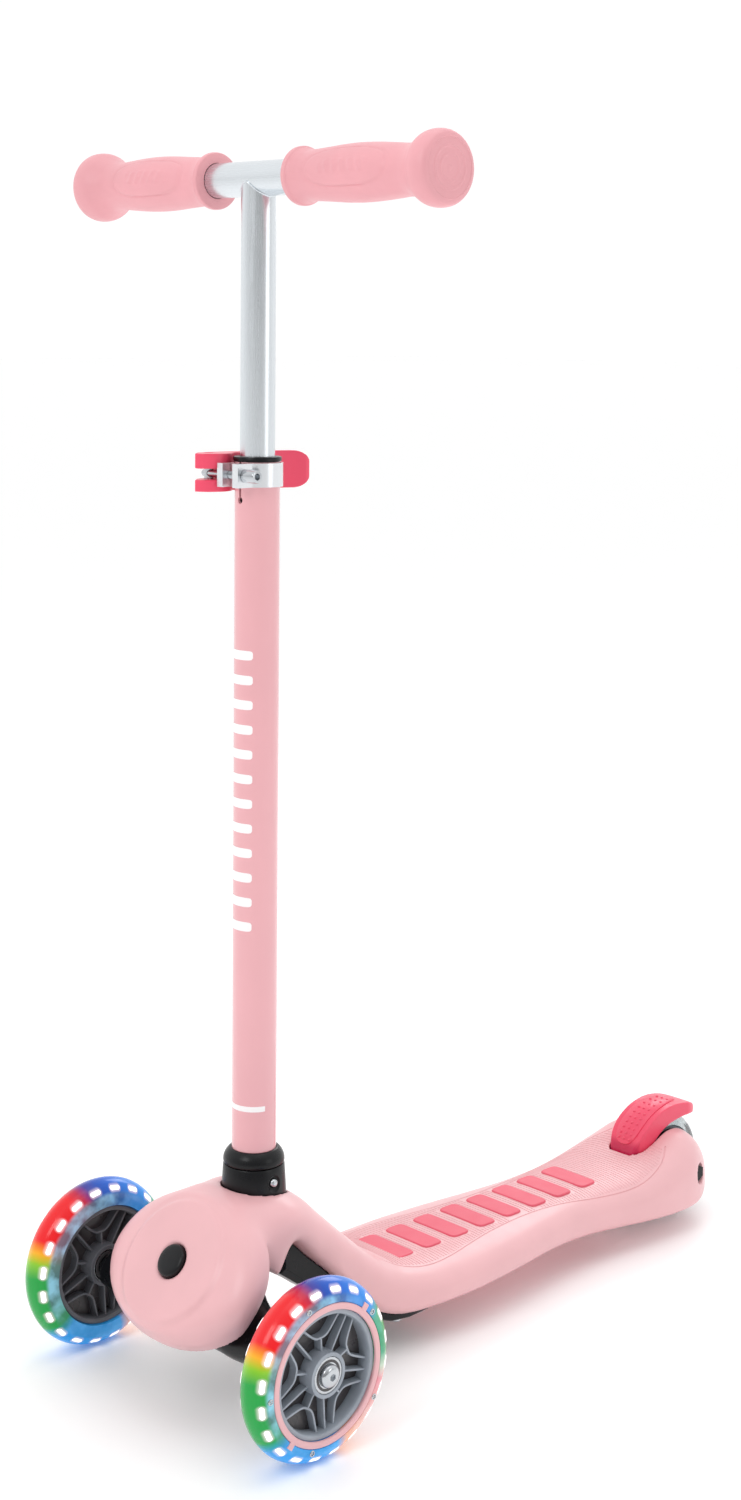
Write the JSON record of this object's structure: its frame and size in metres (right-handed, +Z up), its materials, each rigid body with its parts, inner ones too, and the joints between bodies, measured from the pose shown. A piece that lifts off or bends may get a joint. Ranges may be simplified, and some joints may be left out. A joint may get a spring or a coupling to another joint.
{
  "type": "kick scooter",
  "caption": "Child's kick scooter with a flared footboard, telescopic T-bar, quick-release clamp, leaning front truck with lit wheels and a rear fender brake.",
  "frame": {"origin": "centre of the overall box in X and Y, on the ground plane", "axes": "+Z up along the steering column, -Y the way the rider faces, +X the rider's left along the handlebar"},
  "size_m": [0.333, 0.548, 0.7906],
  "materials": {
    "pink_plastic": "satin moulded pink plastic",
    "pink_paint": "satin pink paint on tube",
    "grip_rubber": "soft matte pink grip",
    "coral_plastic": "satin coral plastic",
    "inlay_plastic": "coral plastic inlay",
    "black_plastic": "satin black plastic",
    "grey_plastic": "grey moulded plastic",
    "aluminium": "brushed and clear-coated",
    "steel": "zinc-plated steel",
    "clear_tyre": "clear polyurethane, lit from inside",
    "smoke_tyre": "smoky clear polyurethane",
    "elastomer": "firm elastomer block"
  },
  "bodies": {
    "frame": {"deck_shell": "pink_plastic", "base_housing": "black_plastic", "deck_inlay": "inlay_plastic", "housing_screw_1": "steel", "housing_screw_2": "steel", "housing_screw_3": "steel", "housing_screw_4": "steel", "collar_socket": "black_plastic", "collar_ring": "black_plastic", "outer_tube": "pink_paint", "tube_bush": "black_plastic", "clamp_band": "aluminium", "clamp_bolt": "aluminium", "clamp_barrel": "steel", "kingpin_bolt": "steel", "kingpin_nut": "steel", "steer_spring_left": "elastomer", "steer_spring_right": "elastomer", "rear_axle_bolt": "steel", "rear_axle_nut": "steel", "rear_spacer_left": "black_plastic", "rear_spacer_right": "black_plastic", "brake_pin": "steel", "brake_spring": "steel"},
    "truck": {"truck_arm": "black_plastic", "kingpin_bush": "steel", "axle_bolt_left": "steel", "axle_bolt_right": "steel", "axle_spacer_left": "black_plastic", "axle_spacer_right": "black_plastic"},
    "front_left_wheel": {"front_left_tyre": "clear_tyre", "front_left_core": "grey_plastic", "front_left_light_band": "smoke_tyre", "front_left_trim_ring": "pink_plastic", "front_left_bearing_outer": "steel", "front_left_bearing_inner": "steel", "front_left_sleeve": "aluminium"},
    "front_right_wheel": {"front_right_tyre": "clear_tyre", "front_right_core": "grey_plastic", "front_right_light_band": "smoke_tyre", "front_right_trim_ring": "pink_plastic", "front_right_bearing_outer": "steel", "front_right_bearing_inner": "steel", "front_right_sleeve": "aluminium"},
    "rear_wheel": {"rear_tyre": "smoke_tyre", "rear_core": "grey_plastic", "rear_bearing_outer": "steel", "rear_bearing_inner": "steel", "rear_sleeve": "aluminium"},
    "brake": {"brake_pedal": "coral_plastic"},
    "t_bar": {"inner_tube": "aluminium", "tube_plug": "black_plastic", "handlebar_tube": "aluminium", "grip_left": "grip_rubber", "grip_right": "grip_rubber"},
    "clamp_handle": {"clamp_lever": "coral_plastic"},
    "lock_button": {"steering_lock_button": "black_plastic"},
    "snap": {"snap_button": "aluminium"}
  },
  "joints": [
    {"name": "truck_steer", "type": "hinge", "parent": "frame", "child": "truck", "pos_m": [0, -0.24215, 0.0945], "axis": [0, -0.8, 0.6], "range_deg": [-15, 15], "stiffness_Nm_per_rad": 40},
    {"name": "front_left_wheel_spin", "type": "hinge", "parent": "truck", "child": "front_left_wheel", "pos_m": [0.1076, -0.21895, 0.055], "axis": [1, 0, 0], "continuous": true},
    {"name": "front_right_wheel_spin", "type": "hinge", "parent": "truck", "child": "front_right_wheel", "pos_m": [-0.1076, -0.21895, 0.055], "axis": [1, 0, 0], "continuous": true},
    {"name": "rear_wheel_spin", "type": "hinge", "parent": "frame", "child": "rear_wheel", "pos_m": [0, 0.23545, 0.0385], "axis": [1, 0, 0], "continuous": true},
    {"name": "brake_press", "type": "hinge", "parent": "frame", "child": "brake", "pos_m": [0, 0.18545, 0.0363], "axis": [-1, 0, 0], "range_deg": [0, 2.8], "stiffness_Nm_per_rad": 2, "springref_deg": -3.44},
    {"name": "t_bar_height", "type": "slide", "parent": "frame", "child": "t_bar", "axis": [0, 0, 1], "range_m": [-0.1, 0]},
    {"name": "clamp_lever_open", "type": "hinge", "parent": "frame", "child": "clamp_handle", "pos_m": [-0.0255, -0.19305, 0.5833], "axis": [0, 0, 1], "range_deg": [0, 120]},
    {"name": "steering_lock_press", "type": "slide", "parent": "frame", "child": "lock_button", "axis": [0, 0.8, -0.6], "range_m": [0, 0.003], "stiffness_N_per_m": 300, "springref_m": -0.001},
    {"name": "snap_button_press", "type": "slide", "parent": "frame", "child": "snap", "axis": [-1, 0, 0], "range_m": [0, 0.004], "stiffness_N_per_m": 300, "springref_m": -0.001}
  ]
}
